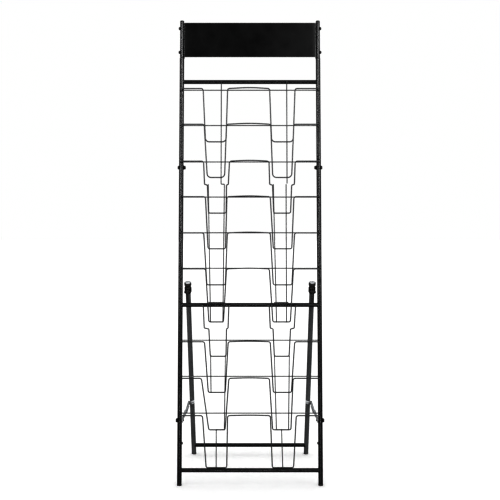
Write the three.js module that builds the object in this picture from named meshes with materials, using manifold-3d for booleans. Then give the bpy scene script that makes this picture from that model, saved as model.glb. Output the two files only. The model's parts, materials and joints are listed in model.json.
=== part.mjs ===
// Folding wire literature rack: ten tiers of paired pockets on a leaning frame of round tube, a
// header sign panel on top, and a rear leg frame that two folding braces hold open.
// Millimetres, +Z up, the front faces -Y, and left is -X. The origin is on the floor, under the
// middle of the rack's box.
//
// The front frame is modelled upright in a group that leans back, so in that group x runs across,
// y runs from front to back through the frame, and z runs up the posts. The rear leg frame has a
// group of its own at the hinge axis, with z up the legs.
import * as THREE from "three";
import { mergeVertices } from "three/addons/utils/BufferGeometryUtils.js";
import Module from "manifold-3d";

const wasm = await Module();
wasm.setup();

// ---------------------------------------------------------------- driving dimensions
const HEIGHT = 1524; // floor to the top of the header uprights
const WIDTH = 470; // over the outsides of the front posts
const LEAN = THREE.MathUtils.degToRad(6.3); // front frame, back from vertical
const LEG_LEAN = THREE.MathUtils.degToRad(21.95); // rear legs, forward from vertical
const GAP = 0.3; // left between pieces that touch

const POST = { outer: 7.15, inner: 5.95 }; // tube radii
const UPRIGHT = { outer: 6.35, inner: 5.15 };
const CROSSBAR = { outer: 6.35, inner: 5.25 };
const LEG = { outer: 8, inner: 6.8 };
const SPIGOT = { outer: 5.75, inner: 4.55 }; // swaged tube end inside the tube below it
const TUBE_SIDES = 12;
const WIRE_SIDES = 6;
const POST_X = WIDTH / 2 - POST.outer;
const LEG_X = 204.8;

// Heights up the front frame, measured along the posts.
const FRAME_TOP = HEIGHT / Math.cos(LEAN) - 0.7;
const HEADER_JOINT = 1405.5; // top end of the posts
const SECTION_JOINT = 1060; // top end of the lower posts
const SECTION_BOLT = 1034.2;
const SPIGOT_LENGTH = 52;
const TOP_BAR = 1324;
const MIDDLE_BAR = 580;
const BOTTOM_BAR = 48;
const BAR_SETBACK = 2.2; // top and middle bars sit behind the upright wires

// Pocket rows from the top: the heights of the back wire and of the shelf, then the x of the left
// pocket's two legs and of the right pocket's two, under the front wire and at the shelf. Two rows
// have legs that step inwards past a frame joint, at STEP_START and STEP_END below the back wire.
const ROWS = [
  { back: 1292.8, shelf: 1118.8, top: [-154, -73.5, 64.5, 148], foot: [-147.5, -79.5, 71.5, 143] },
  { back: 1173.7, shelf: 999.7, top: [-150, -77, 68, 143.5], foot: [-141, -84, 75, 137.5] },
  {
    back: 1051.5,
    shelf: 881.3,
    top: [-151.5, -67, 62, 147.5],
    stepFrom: [-149, -71, 64.5, 145.5],
    stepTo: [-139.5, -77, 74, 136.5],
    foot: [-136.5, -78.5, 78, 133.5],
  },
  { back: 934.6, shelf: 763.6, top: [-145, -75, 66, 143], foot: [-137.5, -80.5, 76.5, 137] },
  { back: 816.4, shelf: 645.4, top: [-150, -73.5, 66, 144.5], foot: [-141, -80.5, 76, 137] },
  { back: 699.7, shelf: 524.7, top: [-143.5, -76, 62.5, 140.5], foot: [-134, -86.5, 74.5, 131.5] },
  {
    back: 582.6,
    shelf: 413.6,
    top: [-150.5, -68, 62, 147],
    stepFrom: [-148, -71, 65.5, 143],
    stepTo: [-133, -76, 74.5, 131],
    foot: [-129, -78, 79, 127],
  },
  { back: 465.5, shelf: 297.5, top: [-146, -70, 65, 143.5], foot: [-135, -80, 75.5, 134] },
  { back: 349.1, shelf: 178.1, top: [-155.5, -67.5, 62, 138], foot: [-133, -80.5, 73, 132] },
  { back: 231.2, shelf: 56.5, top: [-151.5, -71.5, 65, 147.5], foot: [-141.5, -75, 72, 140.5] },
];
const BAR_ROW = 7; // the middle bar takes the place of this row's back wire
const COLUMN_X = 109; // middle of a pocket column
const STEP_START = 77;
const STEP_END = 80.5;
const BACK_WIRE_R = 1.5;
const POCKET_WIRE_R = 1.8;
const BACK_WIRE_Y = -(POST.outer + 0.6 + BACK_WIRE_R);
const UPRIGHT_WIRE_Y = BACK_WIRE_Y + 2 * BACK_WIRE_R + GAP;
const POCKET_FRONT_Y = -42;
const SHELF_Y = UPRIGHT_WIRE_Y - BACK_WIRE_R - GAP - POCKET_WIRE_R - 0.05;
const FRONT_WIRE_FALL = 3.5; // front wire below its back wire
const BRIDGE_RISE = 2.5; // arch of the wire between the two columns
const BRIDGE_BULGE = 5;
const BRIDGE_RADIUS = 400;
const FRONT_CORNER = 7; // bends of a pocket wire at its front and at its shelf
const SHELF_CORNER = 6;
const WIDE_SHELF_CORNER = 13; // the first two rows

// Header sign panel.
const PANEL = { bottom: 1406.2, top: 1523, halfWidth: 221.2, front: -8, depth: 18, sheet: 1.2 };
const PANEL_BEND = 3;
const HEADER_BOLTS = [1506.1, 1424.6];

// Hinge, brace and fastener sizes.
const LEG_FOOT_Y = 341.6; // where a leg's axis meets the floor, behind the front posts' feet
const HINGE_LEG_HEIGHT = 625.2; // height of the leg axis beside the hinge bolt
const HINGE_OFFSET = 19; // hinge bolt in front of the leg axis
const LEG_ABOVE_HINGE = 17.5;
const REAR_BAR_DOWN = 635.3; // rear crossbar, down the leg from the hinge
const LUG = { thick: 3, half: 7.5 };
const COLLAR = { outer: 11.2, half: 8, ear: 3.5 };
const BOLT_R = 2.5;
const BOLT_HOLE_R = 2.9;
const BRACE = { half: 7.5, thick: 2, frontShare: 0.434 };
const BRACE_POST_Y = 1;
const BRACE_POST_Z = 206.8;
const BRACE_LEG_DOWN = 446.7;
const BRACE_LEG_FORWARD = 6; // brace pivot in front of the leg axis
const FOOT_FLANGE = 4;
const FOOT_SHANK = 20;

// ---------------------------------------------------------------- materials
const finish = (color, roughness, metalness) =>
  new THREE.MeshStandardMaterial({ color, roughness, metalness });
const paint = () => finish(0x0b0c0d, 0.42, 0.3);
const wirePaint = () => finish(0x1a1b1c, 0.5, 0.3);
const panelPaint = () => finish(0x070708, 0.38, 0.3);
const zinc = () => finish(0x9a9c9e, 0.35, 0.9);
const blackBolt = () => finish(0x18191a, 0.45, 0.6);
const rubber = () => finish(0x151515, 0.8, 0);

// ---------------------------------------------------------------- geometry helpers
// A closed mesh as a solid that can be joined and cut.
function solidOf(geometry) {
  const bare = geometry.clone();
  bare.deleteAttribute("normal");
  bare.deleteAttribute("uv");
  const merged = mergeVertices(bare, 1e-4);
  return new wasm.Manifold(
    new wasm.Mesh({
      numProp: 3,
      vertProperties: merged.attributes.position.array,
      triVerts: new Uint32Array(merged.index.array),
    }),
  );
}

function geometryOf(solid) {
  const mesh = solid.getMesh();
  const geometry = new THREE.BufferGeometry();
  geometry.setAttribute("position", new THREE.BufferAttribute(mesh.vertProperties, 3));
  geometry.setIndex(new THREE.BufferAttribute(mesh.triVerts, 1));
  geometry.computeVertexNormals();
  return geometry;
}

const cut = (body, ...tools) =>
  geometryOf(tools.reduce((left, tool) => left.subtract(solidOf(tool)), solidOf(body)));
const join = (...bodies) =>
  geometryOf(bodies.map(solidOf).reduce((whole, body) => whole.add(body)));

// A turned shape about the z axis, from [radius, z] pairs that run anticlockwise round its section.
function turned(profile, sides = TUBE_SIDES) {
  const points = profile.map(([r, z]) => new THREE.Vector2(r, z));
  return new THREE.LatheGeometry(points, sides).rotateX(Math.PI / 2);
}

const rod = (radius, from, to, sides = TUBE_SIDES) =>
  turned([[0, from], [radius, from], [radius, to], [0, to]], sides);

const pipe = ({ outer, inner }, from, to) =>
  turned([[outer, from], [outer, to], [inner, to], [inner, from], [outer, from]]);

// Turns a shape that points along z so that it points outwards along x on the given side.
const aimedAcross = (geometry, side) => geometry.rotateY((side * Math.PI) / 2);

// A hole right across a tube along x.
const crossHole = (radius, x, y, z, reach = 14) =>
  aimedAcross(rod(radius, -reach, reach, 8), 1).translate(x, y, z);

// A path through exact points: a sweep along it puts one ring on each point.
class WirePath extends THREE.Curve {
  constructor(points) {
    super();
    this.points = points;
  }
  indexAt(t) {
    return Math.round(t * (this.points.length - 1));
  }
  getPointAt(t) {
    return this.points[this.indexAt(t)].clone();
  }
  getTangentAt(t) {
    const i = this.indexAt(t);
    const last = this.points.length - 1;
    const before = this.points[Math.max(i - 1, 0)];
    const here = this.points[i];
    const after = this.points[Math.min(i + 1, last)];
    const arriving = here.clone().sub(before).normalize();
    const leaving = after.clone().sub(here).normalize();
    return arriving.add(leaving).normalize();
  }
}

// Rounds each inner corner of a run of [x, y, z, radius] points.
function rounded(corners) {
  const at = corners.map(([x, y, z]) => new THREE.Vector3(x, y, z));
  const path = [at[0]];
  for (let i = 1; i < at.length - 1; i++) {
    const back = at[i - 1].clone().sub(at[i]);
    const ahead = at[i + 1].clone().sub(at[i]);
    const turn = Math.PI - back.angleTo(ahead);
    const longest = 0.48 * Math.min(back.length(), ahead.length());
    const reach = Math.min(corners[i][3] * Math.tan(turn / 2), longest);
    const start = at[i].clone().addScaledVector(back.normalize(), reach);
    const end = at[i].clone().addScaledVector(ahead.normalize(), reach);
    if (corners[i][3] === 0) {
      path.push(at[i]);
      continue;
    }
    const steps = turn > 0.6 ? 3 : 2;
    path.push(...new THREE.QuadraticBezierCurve3(start, at[i], end).getPoints(steps));
  }
  path.push(at[at.length - 1]);
  return path;
}

function wire(points, radius) {
  const corners = [];
  for (let i = 0; i < WIRE_SIDES; i++) {
    const angle = (i * 2 * Math.PI) / WIRE_SIDES;
    corners.push(new THREE.Vector2(radius * Math.cos(angle), radius * Math.sin(angle)));
  }
  const section = new THREE.Shape(corners);
  return new THREE.ExtrudeGeometry(section, {
    steps: points.length - 1,
    extrudePath: new WirePath(points),
    curveSegments: 1,
  });
}

const straightWire = (from, to, radius) =>
  wire([new THREE.Vector3(...from), new THREE.Vector3(...to)], radius);

// A round-ended flat plate that stands across x, between two points of the y-z plane.
function plate(from, to, half, xLow, thick, holes) {
  const along = Math.atan2(to[1] - from[1], to[0] - from[0]);
  const outline = new THREE.Shape();
  outline.absarc(from[0], from[1], half, along + Math.PI / 2, along + 1.5 * Math.PI, false);
  outline.absarc(to[0], to[1], half, along - Math.PI / 2, along + Math.PI / 2, false);
  for (const [y, z, radius] of holes) {
    outline.holes.push(new THREE.Path().absarc(y, z, radius, 0, 2 * Math.PI, true));
  }
  const flat = new THREE.ExtrudeGeometry(outline, {
    depth: thick,
    bevelEnabled: false,
    curveSegments: 6,
  });
  // The outline's x, y and depth become y, z and x.
  const toAcross = new THREE.Matrix4().makeBasis(
    new THREE.Vector3(0, 1, 0),
    new THREE.Vector3(0, 0, 1),
    new THREE.Vector3(1, 0, 0),
  );
  return flat.applyMatrix4(toAcross).translate(xLow, 0, 0);
}

// ---------------------------------------------------------------- scene graph
const rack = new THREE.Group();
const frontFrame = new THREE.Group();
frontFrame.rotation.x = -LEAN;
rack.add(frontFrame);

const legDirection = [-Math.sin(LEG_LEAN), Math.cos(LEG_LEAN)]; // y and z, up the leg
const hinge = {
  y: LEG_FOOT_Y - HINGE_LEG_HEIGHT * Math.tan(LEG_LEAN) - HINGE_OFFSET * legDirection[1],
  z: HINGE_LEG_HEIGHT + HINGE_OFFSET * legDirection[0],
};
const legFrame = new THREE.Group();
legFrame.position.set(0, hinge.y, hinge.z);
legFrame.rotation.x = LEG_LEAN;
rack.add(legFrame);
rack.updateMatrixWorld(true);

const SIDES = [
  { name: "left", side: -1 },
  { name: "right", side: 1 },
];

function add(group, name, geometry, material, x = 0, y = 0, z = 0) {
  const mesh = new THREE.Mesh(geometry, material);
  mesh.name = name;
  mesh.position.set(x, y, z);
  group.add(mesh);
  return mesh;
}

// Everything below the floor, in a group's own frame.
function belowFloor(group) {
  const ground = new THREE.BoxGeometry(2 * WIDTH, 4 * LEG_FOOT_Y, 100).translate(0, 0, -50);
  return ground.applyMatrix4(group.matrixWorld.clone().invert());
}

// ---------------------------------------------------------------- posts and header
// A tube whose lower end is swaged down to slide into the tube below.
const swagedPipe = (size, from, to) =>
  turned([
    [SPIGOT.outer, from - SPIGOT_LENGTH],
    [SPIGOT.outer, from],
    [size.outer, from + 1],
    [size.outer, to],
    [size.inner, to],
    [size.inner, from + 2],
    [SPIGOT.inner, from + 1],
    [SPIGOT.inner, from - SPIGOT_LENGTH],
    [SPIGOT.outer, from - SPIGOT_LENGTH],
  ]);

// A round-headed screw along z: the head's underside is at zero and the shank runs down.
const screw = (radius, length, headRadius, headHeight) =>
  turned([
    [0, -length],
    [radius, -length],
    [radius, 0],
    [headRadius, 0],
    [headRadius, headHeight * 0.35],
    [headRadius * 0.62, headHeight],
    [0, headHeight],
  ], 12);

for (const { name, side } of SIDES) {
  const x = side * POST_X;
  const sectionHole = crossHole(BOLT_HOLE_R + 0.5, 0, 0, SECTION_BOLT);
  const braceHole = crossHole(BOLT_HOLE_R, 0, BRACE_POST_Y, BRACE_POST_Z);
  const lower = cut(pipe(POST, FOOT_FLANGE + GAP, SECTION_JOINT), sectionHole, braceHole);
  add(frontFrame, `post_lower_${name}`, lower, paint(), x);

  const upper = cut(swagedPipe(POST, SECTION_JOINT + GAP, HEADER_JOINT), sectionHole);
  add(frontFrame, `post_upper_${name}`, upper, paint(), x);

  const headerTube = turned([
    [SPIGOT.outer, HEADER_JOINT + GAP - SPIGOT_LENGTH],
    [SPIGOT.outer, HEADER_JOINT + GAP],
    [UPRIGHT.outer, HEADER_JOINT + 1],
    [UPRIGHT.outer, FRAME_TOP - 2],
    [UPRIGHT.outer - 1.5, FRAME_TOP],
    [0, FRAME_TOP],
    [0, FRAME_TOP - 2],
    [UPRIGHT.inner, FRAME_TOP - 3],
    [UPRIGHT.inner, HEADER_JOINT + 3],
    [SPIGOT.inner, HEADER_JOINT + 1],
    [SPIGOT.inner, HEADER_JOINT + GAP - SPIGOT_LENGTH],
    [SPIGOT.outer, HEADER_JOINT + GAP - SPIGOT_LENGTH],
  ]);
  const headerHoles = HEADER_BOLTS.map((z) => crossHole(BOLT_HOLE_R, 0, 0, z));
  add(frontFrame, `header_upright_${name}`, cut(headerTube, ...headerHoles), paint(), x);

  const sectionBolt = screw(BOLT_R + 0.5, 2 * POST.outer + 7, 5.9, 4.2);
  add(frontFrame, `section_bolt_${name}`, aimedAcross(sectionBolt, side), blackBolt(),
    x + side * (POST.outer + GAP), 0, SECTION_BOLT);

  HEADER_BOLTS.forEach((z, i) => {
    const bolt = aimedAcross(screw(BOLT_R, 2 * UPRIGHT.outer + 7, 4.6, 4.4), side);
    add(frontFrame, `header_bolt_${["upper", "lower"][i]}_${name}`, bolt, blackBolt(),
      x + side * (UPRIGHT.outer + GAP), 0, z);
  });

  const foot = cut(join(rod(POST.outer, -3, FOOT_FLANGE), rod(SPIGOT.outer, 2, FOOT_SHANK)),
    belowFloor(frontFrame));
  add(frontFrame, `front_foot_${name}`, foot, rubber(), x);
}

// Header sign panel: one sheet with its two side edges folded back along the uprights.
function panelSection() {
  const { halfWidth, front, depth, sheet } = PANEL;
  const back = front + depth;
  const outer = PANEL_BEND;
  const inner = PANEL_BEND - sheet;
  const section = new THREE.Shape();
  section.moveTo(-halfWidth, back);
  section.lineTo(-halfWidth, front + outer);
  section.absarc(-halfWidth + outer, front + outer, outer, Math.PI, 1.5 * Math.PI, false);
  section.absarc(halfWidth - outer, front + outer, outer, 1.5 * Math.PI, 2 * Math.PI, false);
  section.lineTo(halfWidth, back);
  section.lineTo(halfWidth - sheet, back);
  section.absarc(halfWidth - outer, front + outer, inner, 2 * Math.PI, 1.5 * Math.PI, true);
  section.absarc(-halfWidth + outer, front + outer, inner, 1.5 * Math.PI, Math.PI, true);
  section.lineTo(-halfWidth + sheet, back);
  return section;
}
const panelSheet = new THREE.ExtrudeGeometry(panelSection(), {
  depth: PANEL.top - PANEL.bottom,
  bevelEnabled: false,
  curveSegments: 4,
}).translate(0, 0, PANEL.bottom);
const panelHoles = HEADER_BOLTS.map((z) => crossHole(BOLT_HOLE_R, 0, 0, z, WIDTH / 2));
add(frontFrame, "header_panel", cut(panelSheet, ...panelHoles), panelPaint());

// ---------------------------------------------------------------- crossbars
// A tube across x whose ends are coped to fit round two uprights of the given radius.
function copedBar(postX, postRadius, setback) {
  const reach = postX - postRadius / 2;
  const bar = pipe(CROSSBAR, -reach, reach).rotateY(Math.PI / 2);
  const cope = (x) => rod(postRadius + 2 * GAP, -40, 40).translate(x, -setback, 0);
  return cut(bar, cope(-postX), cope(postX));
}

add(frontFrame, "crossbar_top", copedBar(POST_X, POST.outer, BAR_SETBACK), paint(),
  0, BAR_SETBACK, TOP_BAR);
add(frontFrame, "crossbar_bottom", copedBar(POST_X, POST.outer, 0), paint(), 0, 0, BOTTOM_BAR);

// The middle bar carries two upright lugs that the rear legs hinge on.
const hingeUp = hinge.y * Math.sin(LEAN) + hinge.z * Math.cos(LEAN); // hinge in the front frame
const hingeBack = hinge.y * Math.cos(LEAN) - hinge.z * Math.sin(LEAN);
const hingeLug = (side) =>
  plate([BAR_SETBACK, MIDDLE_BAR + CROSSBAR.outer], [hingeBack, hingeUp], LUG.half,
    side * LEG_X - LUG.thick / 2, LUG.thick, [[hingeBack, hingeUp, BOLT_HOLE_R]])
    .translate(0, -BAR_SETBACK, -MIDDLE_BAR);
const boreOfBar = rod(CROSSBAR.inner, -POST_X, POST_X).rotateY(Math.PI / 2);
const middleBar = join(copedBar(POST_X, POST.outer, BAR_SETBACK),
  cut(hingeLug(-1), boreOfBar), cut(hingeLug(1), boreOfBar));
add(frontFrame, "crossbar_middle", middleBar, paint(), 0, BAR_SETBACK, MIDDLE_BAR);

// ---------------------------------------------------------------- pocket wires
// One wire forms both pockets of a row: this is its run down and up one pocket, from the pocket's
// first leg to its second. The four x values of a level hold the left pocket's legs, then the right's.
function pocketRun(row, number, first, second) {
  const onBottomBar = number === ROWS.length;
  const shelfY = onBottomBar ? -BAR_SETBACK - 0.1 : SHELF_Y;
  const corner = number <= 2 ? WIDE_SHELF_CORNER : SHELF_CORNER;
  const front = row.back - FRONT_WIRE_FALL;
  const depthAt = (z) =>
    POCKET_FRONT_Y + ((shelfY - POCKET_FRONT_Y) * (front - z)) / (front - row.shelf);
  const steps = (leg) => !row.stepFrom ? [] : [
    [row.stepFrom[leg], depthAt(row.back - STEP_START), row.back - STEP_START, 0],
    [row.stepTo[leg], depthAt(row.back - STEP_END), row.back - STEP_END, 0],
  ];
  return [
    [row.top[first], POCKET_FRONT_Y, front, FRONT_CORNER],
    ...steps(first),
    [row.foot[first], shelfY, row.shelf, corner],
    [row.foot[second], shelfY, row.shelf, corner],
    ...steps(second).reverse(),
    [row.top[second], POCKET_FRONT_Y, front, FRONT_CORNER],
  ];
}

// From a post's face to the front corner of the row.
function postRun(row, side) {
  const x = side * (POST_X - 3);
  const weldZ = row.back + BACK_WIRE_R + POCKET_WIRE_R + GAP;
  return [
    [x, -POST.outer - 0.35, weldZ, 0],
    [x, POCKET_FRONT_Y, row.back - FRONT_WIRE_FALL, 6],
  ];
}

ROWS.forEach((row, index) => {
  const number = index + 1;
  const label = String(number).padStart(2, "0");
  const bridgeZ = row.back - FRONT_WIRE_FALL + BRIDGE_RISE;
  const path = rounded([
    ...postRun(row, -1),
    ...pocketRun(row, number, 0, 1),
    [0, POCKET_FRONT_Y - BRIDGE_BULGE, bridgeZ, BRIDGE_RADIUS],
    ...pocketRun(row, number, 2, 3),
    ...postRun(row, 1).reverse(),
  ]);
  add(frontFrame, `pocket_wire_${label}`, wire(path, POCKET_WIRE_R), wirePaint());

  if (number !== BAR_ROW) {
    const back = straightWire(
      [-POST_X, BACK_WIRE_Y, row.back], [POST_X, BACK_WIRE_Y, row.back], BACK_WIRE_R);
    add(frontFrame, `back_wire_${label}`, back, wirePaint());
  }
});

// ---------------------------------------------------------------- upright wires behind the pockets
// Offsets from the column's middle, at the top and at the bottom of each upright wire.
const LADDERS = {
  left: { middle: [[-29, -19.7], [24.5, 20.5]], lower: [[-19, -15.6], [29, 26]], stem: [0, 0] },
  right: { middle: [[-32, -22.4], [10.2, 10.2]], lower: [[-29.7, -23.6], [18.9, 15.6]], stem: [-7, -3.5] },
};
const UPPER_WIRE_OFFSET = 13.4;
const UPPER_WIRE_END = 980;
const MIDDLE_LADDER_TOP = 978;
const TIE_HEIGHT = MIDDLE_BAR + 8.2;
const TIE_OVERHANG = 6;

for (const { name, side } of SIDES) {
  const columnX = side * COLUMN_X;
  const y = UPRIGHT_WIRE_Y;
  const railX = ([high, low], z, top, bottom) =>
    columnX + low + ((high - low) * (z - bottom)) / (top - bottom);
  const rail = (offsets, top, bottom, end = bottom) => straightWire(
    [railX(offsets, top, top, bottom), y, top], [railX(offsets, end, top, bottom), y, end], BACK_WIRE_R);
  const tie = (from, to, z) => straightWire([from, y, z], [to, y, z], BACK_WIRE_R);

  // A wire down from the top bar. The left one steps across to its ladder's second rail.
  const upperX = columnX + UPPER_WIRE_OFFSET;
  const upperEnd = side < 0 ? MIDDLE_LADDER_TOP - BACK_WIRE_R : UPPER_WIRE_END;
  const upper = straightWire([upperX, y, TOP_BAR], [upperX, y, upperEnd], BACK_WIRE_R);
  if (side > 0) {
    add(frontFrame, `upright_wire_${name}`, upper, wirePaint());
  }

  // Two rails from the third row to the sixth shelf, with a tie over the middle bar.
  const middleTop = MIDDLE_LADDER_TOP;
  const middleBottom = ROWS[5].shelf - POCKET_WIRE_R;
  const [middleLeft, middleRight] = LADDERS[name].middle;
  const step = tie(upperX, columnX + middleRight[0], middleTop);
  const middle = join(
    ...(side < 0 ? [upper, step] : []),
    rail(middleLeft, middleTop, middleBottom),
    rail(middleRight, middleTop, middleBottom),
    tie(railX(middleLeft, TIE_HEIGHT, middleTop, middleBottom) - TIE_OVERHANG,
      railX(middleRight, TIE_HEIGHT, middleTop, middleBottom) + TIE_OVERHANG, TIE_HEIGHT));
  add(frontFrame, `middle_ladder_${name}`, middle, wirePaint());

  // Two rails from the seventh shelf down, a tie along the ninth shelf and a stem to the bottom bar.
  // The left column's first rail stops at the eighth shelf.
  const lowerTop = ROWS[6].shelf + POCKET_WIRE_R;
  const lowerBottom = ROWS[8].shelf - POCKET_WIRE_R;
  const [lowerLeft, lowerRight] = LADDERS[name].lower;
  const firstEnd = side < 0 ? ROWS[7].shelf - POCKET_WIRE_R : lowerBottom;
  const [stemHigh, stemLow] = LADDERS[name].stem.map((offset) => columnX + offset);
  const tieStart = side < 0 ? stemHigh : columnX + lowerLeft[1];
  const pieces = [
    rail(lowerRight, lowerTop, lowerBottom),
    tie(tieStart, columnX + lowerRight[1], ROWS[8].shelf),
    straightWire([stemHigh, y, ROWS[8].shelf], [stemLow, y, BOTTOM_BAR + CROSSBAR.outer], BACK_WIRE_R),
  ];
  const first = rail(lowerLeft, lowerTop, lowerBottom, firstEnd);
  if (side < 0) {
    add(frontFrame, "short_rail_left", first, wirePaint());
  } else {
    pieces.push(first);
  }
  add(frontFrame, `lower_ladder_${name}`, join(...pieces), wirePaint());
}

// ---------------------------------------------------------------- rear leg frame
// In this group the hinge axis is at y = 0, z = 0 and the leg axes are at y = HINGE_OFFSET.
const legLength = HINGE_LEG_HEIGHT / Math.cos(LEG_LEAN); // hinge to floor, along the leg
for (const { name, side } of SIDES) {
  const x = side * LEG_X;
  const pivotY = -BRACE_LEG_FORWARD;
  const outerFace = LEG.outer + 2.9;
  const boss = aimedAcross(rod(6, 1, outerFace, 12), side).translate(0, pivotY, -BRACE_LEG_DOWN);
  const bore = rod(LEG.inner, -legLength, LEG_ABOVE_HINGE + 5);
  const tube = join(pipe(LEG, -legLength + FOOT_FLANGE + GAP, LEG_ABOVE_HINGE), cut(boss, bore));
  add(legFrame, `rear_leg_${name}`, tube, paint(), x, HINGE_OFFSET, 0);

  const cap = turned([
    [9.2, COLLAR.half + 1],
    [9.6, 14.5],
    [11.2, 16.5],
    [11.4, 24],
    [10.4, 26],
    [0, 26.6],
    [0, LEG_ABOVE_HINGE + GAP],
    [LEG.outer + GAP, LEG_ABOVE_HINGE + GAP],
    [LEG.outer + GAP, COLLAR.half + 1],
    [9.2, COLLAR.half + 1],
  ]);
  add(legFrame, `leg_cap_${name}`, cap, rubber(), x, HINGE_OFFSET, 0);

  // Collar clamped round the leg, with two ears that reach forward past the lug on the middle bar.
  const innerFace = LUG.thick / 2 + 0.35;
  const ear = (low) =>
    plate([-HINGE_OFFSET, 0], [-LEG.outer - 1, 0], COLLAR.half - 1, low, COLLAR.ear, []);
  const ring = rod(COLLAR.outer, -COLLAR.half, COLLAR.half);
  const collar = cut(join(ring, ear(innerFace), ear(-innerFace - COLLAR.ear)),
    rod(LEG.outer + GAP, -20, 20), crossHole(BOLT_HOLE_R, 0, -HINGE_OFFSET, 0));
  add(legFrame, `hinge_collar_${name}`, collar, paint(), x, HINGE_OFFSET, 0);

  const gripped = 2 * (innerFace + COLLAR.ear);
  const hingeBolt = aimedAcross(screw(BOLT_R, gripped + 5, 4.6, 3.4), -side);
  add(legFrame, `hinge_bolt_${name}`, hingeBolt, blackBolt(),
    x - side * (gripped / 2 + GAP), 0, 0);

  const flange = rod(LEG.outer, -legLength - 6, -legLength + FOOT_FLANGE);
  const shank = rod(LEG.inner - 0.15, -legLength + 2, -legLength + FOOT_SHANK);
  const foot = cut(join(flange, shank).translate(0, HINGE_OFFSET, 0), belowFloor(legFrame));
  add(legFrame, `rear_foot_${name}`, foot, rubber(), x);
}
add(legFrame, "rear_crossbar", copedBar(LEG_X, LEG.outer, 0), paint(),
  0, HINGE_OFFSET, -REAR_BAR_DOWN);

// ---------------------------------------------------------------- folding braces
// Each brace lies between a post and a leg and is straight when the rack stands open.
const inWorld = (group, y, z) => new THREE.Vector3(0, y, z).applyMatrix4(group.matrixWorld);
const postPivot = inWorld(frontFrame, BRACE_POST_Y, BRACE_POST_Z);
const legPivot = inWorld(legFrame, HINGE_OFFSET - BRACE_LEG_FORWARD, -BRACE_LEG_DOWN);
const span = legPivot.clone().sub(postPivot);
const frontLength = span.length() * BRACE.frontShare;
const rearLength = span.length() - frontLength;

for (const { name, side } of SIDES) {
  const brace = new THREE.Group();
  brace.position.copy(postPivot);
  brace.rotation.x = Math.atan2(span.z, span.y);
  rack.add(brace);

  // Layers across x, from the post inwards: front link, rear link, rivet head.
  const postFace = side * (POST_X - POST.outer - GAP);
  const layer = (depth, thick) => Math.min(postFace - side * depth, postFace - side * (depth + thick));
  const rearDepth = BRACE.thick + 0.4;
  const rivet = aimedAcross(turned([
    [0, 0],
    [BOLT_R, 0],
    [BOLT_R, rearDepth],
    [4.3, rearDepth],
    [3.4, rearDepth + 1.2],
    [0, rearDepth + 1.2],
  ], 12), -side).translate(postFace - side * BRACE.thick, frontLength, 0);
  const front = join(
    plate([0, 0], [frontLength, 0], BRACE.half, layer(0, BRACE.thick), BRACE.thick,
      [[0, 0, BOLT_HOLE_R]]),
    rivet);
  add(brace, `brace_front_${name}`, front, zinc());

  const pin = aimedAcross(turned([
    [0, -BRACE.thick],
    [4.3, -BRACE.thick],
    [4.3, 0],
    [3.4, 1.2],
    [0, 1.2],
  ], 12), side).translate(postFace - side * rearDepth, frontLength + rearLength, 0);
  const rear = join(
    plate([frontLength, 0], [frontLength + rearLength, 0], BRACE.half,
      layer(rearDepth, BRACE.thick), BRACE.thick, [[frontLength, 0, BOLT_HOLE_R]]),
    pin);
  add(brace, `brace_rear_${name}`, rear, zinc());

  const postBolt = aimedAcross(screw(BOLT_R, 2 * POST.outer + 6.5, 6.2, 4.6), side);
  add(frontFrame, `brace_bolt_${name}`, postBolt, blackBolt(),
    side * (POST_X + POST.outer + GAP), BRACE_POST_Y, BRACE_POST_Z);
}

// The origin goes under the middle of the rack's box.
rack.updateMatrixWorld(true);
const box = new THREE.Box3().setFromObject(rack, true);
rack.position.y = -(box.min.y + box.max.y) / 2;

export default rack;
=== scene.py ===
"""Folding wire literature rack: smooth tubes, bent wires, welds and fasteners round the CAD frame."""
import json
import math

import bmesh
import bpy
from mathutils import Matrix, Vector, noise

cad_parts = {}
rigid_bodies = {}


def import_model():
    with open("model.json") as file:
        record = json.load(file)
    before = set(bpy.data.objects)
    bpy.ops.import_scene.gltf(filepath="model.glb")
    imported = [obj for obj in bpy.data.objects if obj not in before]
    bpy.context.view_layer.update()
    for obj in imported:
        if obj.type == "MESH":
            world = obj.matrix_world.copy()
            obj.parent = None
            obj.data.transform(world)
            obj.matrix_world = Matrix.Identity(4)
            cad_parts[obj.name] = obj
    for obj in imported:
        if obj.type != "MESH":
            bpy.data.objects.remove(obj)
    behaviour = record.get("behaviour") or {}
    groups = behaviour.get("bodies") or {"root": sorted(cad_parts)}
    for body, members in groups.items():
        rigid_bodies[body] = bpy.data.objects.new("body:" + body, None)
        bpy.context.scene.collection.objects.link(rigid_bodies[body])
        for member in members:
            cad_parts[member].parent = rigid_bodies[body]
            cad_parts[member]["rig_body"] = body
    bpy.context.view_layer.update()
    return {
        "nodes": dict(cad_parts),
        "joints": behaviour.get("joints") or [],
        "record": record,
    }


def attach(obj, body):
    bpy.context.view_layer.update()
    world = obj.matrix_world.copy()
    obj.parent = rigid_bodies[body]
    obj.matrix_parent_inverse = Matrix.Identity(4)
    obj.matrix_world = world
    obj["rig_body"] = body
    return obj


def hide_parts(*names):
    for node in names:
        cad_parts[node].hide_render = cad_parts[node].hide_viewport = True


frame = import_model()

# ------------------------ sizes, in millimetres
MM = 0.001
GAP = 0.3
POST = 7.15  # outer radii of the tubes
UPRIGHT = 6.35
CROSSBAR = 6.35
LEG = 8.0
SPIGOT = 5.75  # the end of a tube that slides into the tube below
TUBE_WALL = 1.2
RIM_BAND = 8.0  # how far a tube's rubbed rim reaches
POST_X = 227.85
LEG_X = 204.8

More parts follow.
